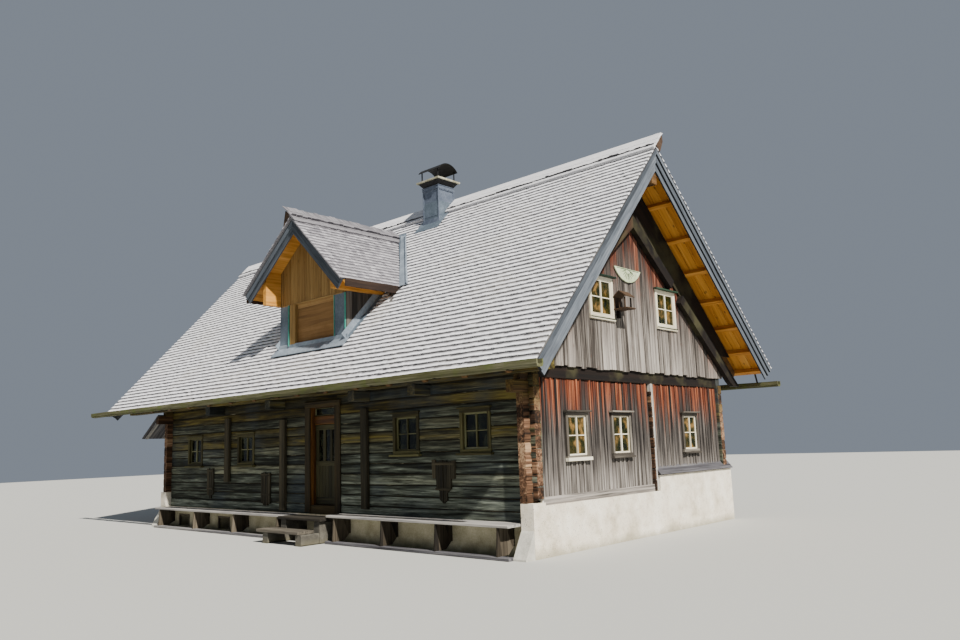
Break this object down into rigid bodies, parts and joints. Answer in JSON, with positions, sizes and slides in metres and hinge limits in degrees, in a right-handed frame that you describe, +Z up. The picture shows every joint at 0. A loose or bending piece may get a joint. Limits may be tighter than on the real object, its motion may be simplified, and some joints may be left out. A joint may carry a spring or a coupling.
{
  "type": "alpine log chalet",
  "caption": "Weathered alpine log chalet with crossed corners, a concrete plinth, boarded gables, a steep shingled roof with a dormer and chimney, and benches along the front.",
  "frame": {"origin": "Bottom centre of the bounding box, on the level of the lowest ground.", "axes": "X runs along the ridge from left to right as seen from the front, Y from the front wall to the back wall, Z up."},
  "size_m": [16.15, 9.339, 8.7898],
  "materials": {
    "plinth_front": "rough cast concrete, plastered off-white",
    "vent_blocks": "rough cast concrete, plastered off-white",
    "plinth_back": "rough cast concrete, plastered off-white",
    "plinth_sides": "rough cast concrete, plastered off-white",
    "ground_floor": "weathered wood",
    "front_wall_left": "dark weathered logs",
    "front_wall_right": "dark weathered logs",
    "front_wall_over_door": "dark weathered logs",
    "back_wall": "dark weathered logs",
    "right_wall": "dark weathered logs",
    "left_wall": "dark weathered logs",
    "ceiling_beams": "weathered wood",
    "attic_floor": "weathered wood",
    "eave_beam": "weathered wood",
    "rafters": "golden pine",
    "purlins": "golden pine",
    "roof_boards": "golden pine boards",
    "shingles_front": "silvery weathered larch shingles",
    "shingles_back": "silvery weathered larch shingles",
    "ridge_cap": "silvery weathered larch shingles",
    "barge_boards": "boards, grey-blue stain",
    "verge_rafters": "weathered wood",
    "boarding_right_low": "larch boards, reddish under the eave and grey below",
    "boarding_right_up": "pale grey weathered boards",
    "boarding_left": "weathered boards",
    "pent_roof": "weathered wood",
    "gutters": "weathered wood",
    "gutter_hooks": "forged iron, weathered",
    "dormer_walls": "weathered wood",
    "dormer_front": "golden pine boards",
    "dormer_roof": "golden pine",
    "dormer_shingles": "grey weathered larch shingles",
    "dormer_barge": "boards, grey-blue stain",
    "flashing": "bare zinc sheet, weathered",
    "chimney": "chimney clad in grey-blue sheet metal",
    "chimney_cowl": "dull sheet metal, mossy on top",
    "door_frame": "brown-orange stained wood",
    "front_door": "grey-brown weathered planks",
    "door_glass": "clear window glass",
    "window_frames": "cream-white paint",
    "panes": "clear window glass",
    "benches": "weathered wood",
    "wall_posts": "weathered wood",
    "door_step": "weathered wood",
    "gable_fittings": "weathered wood"
  },
  "bodies": {
    "house": {"plinth_front": "plinth_front", "vent_blocks": "vent_blocks", "plinth_back": "plinth_back", "plinth_sides": "plinth_sides", "ground_floor": "ground_floor", "front_wall_left": "front_wall_left", "front_wall_right": "front_wall_right", "front_wall_over_door": "front_wall_over_door", "back_wall": "back_wall", "right_wall": "right_wall", "left_wall": "left_wall", "ceiling_beams": "ceiling_beams", "attic_floor": "attic_floor", "eave_beam": "eave_beam", "rafters": "rafters", "purlins": "purlins", "roof_boards": "roof_boards", "shingles_front": "shingles_front", "shingles_back": "shingles_back", "ridge_cap": "ridge_cap", "barge_boards": "barge_boards", "verge_rafters": "verge_rafters", "boarding_right_low": "boarding_right_low", "boarding_right_up": "boarding_right_up", "boarding_left": "boarding_left", "pent_roof": "pent_roof", "gutters": "gutters", "gutter_hooks": "gutter_hooks", "dormer_walls": "dormer_walls", "dormer_front": "dormer_front", "dormer_roof": "dormer_roof", "dormer_shingles": "dormer_shingles", "dormer_barge": "dormer_barge", "flashing": "flashing", "chimney": "chimney", "chimney_cowl": "chimney_cowl", "door_frame": "door_frame", "window_frames": "window_frames", "panes": "panes", "benches": "benches", "wall_posts": "wall_posts", "door_step": "door_step", "gable_fittings": "gable_fittings"},
    "door": {"front_door": "front_door", "door_glass": "door_glass"}
  },
  "joints": [
    {"name": "door_hinge", "type": "hinge", "parent": "house", "child": "door", "pos_m": [0.915, -3.3655, 0.7], "axis": [0, 0, 1], "range_deg": [0, 95]}
  ]
}
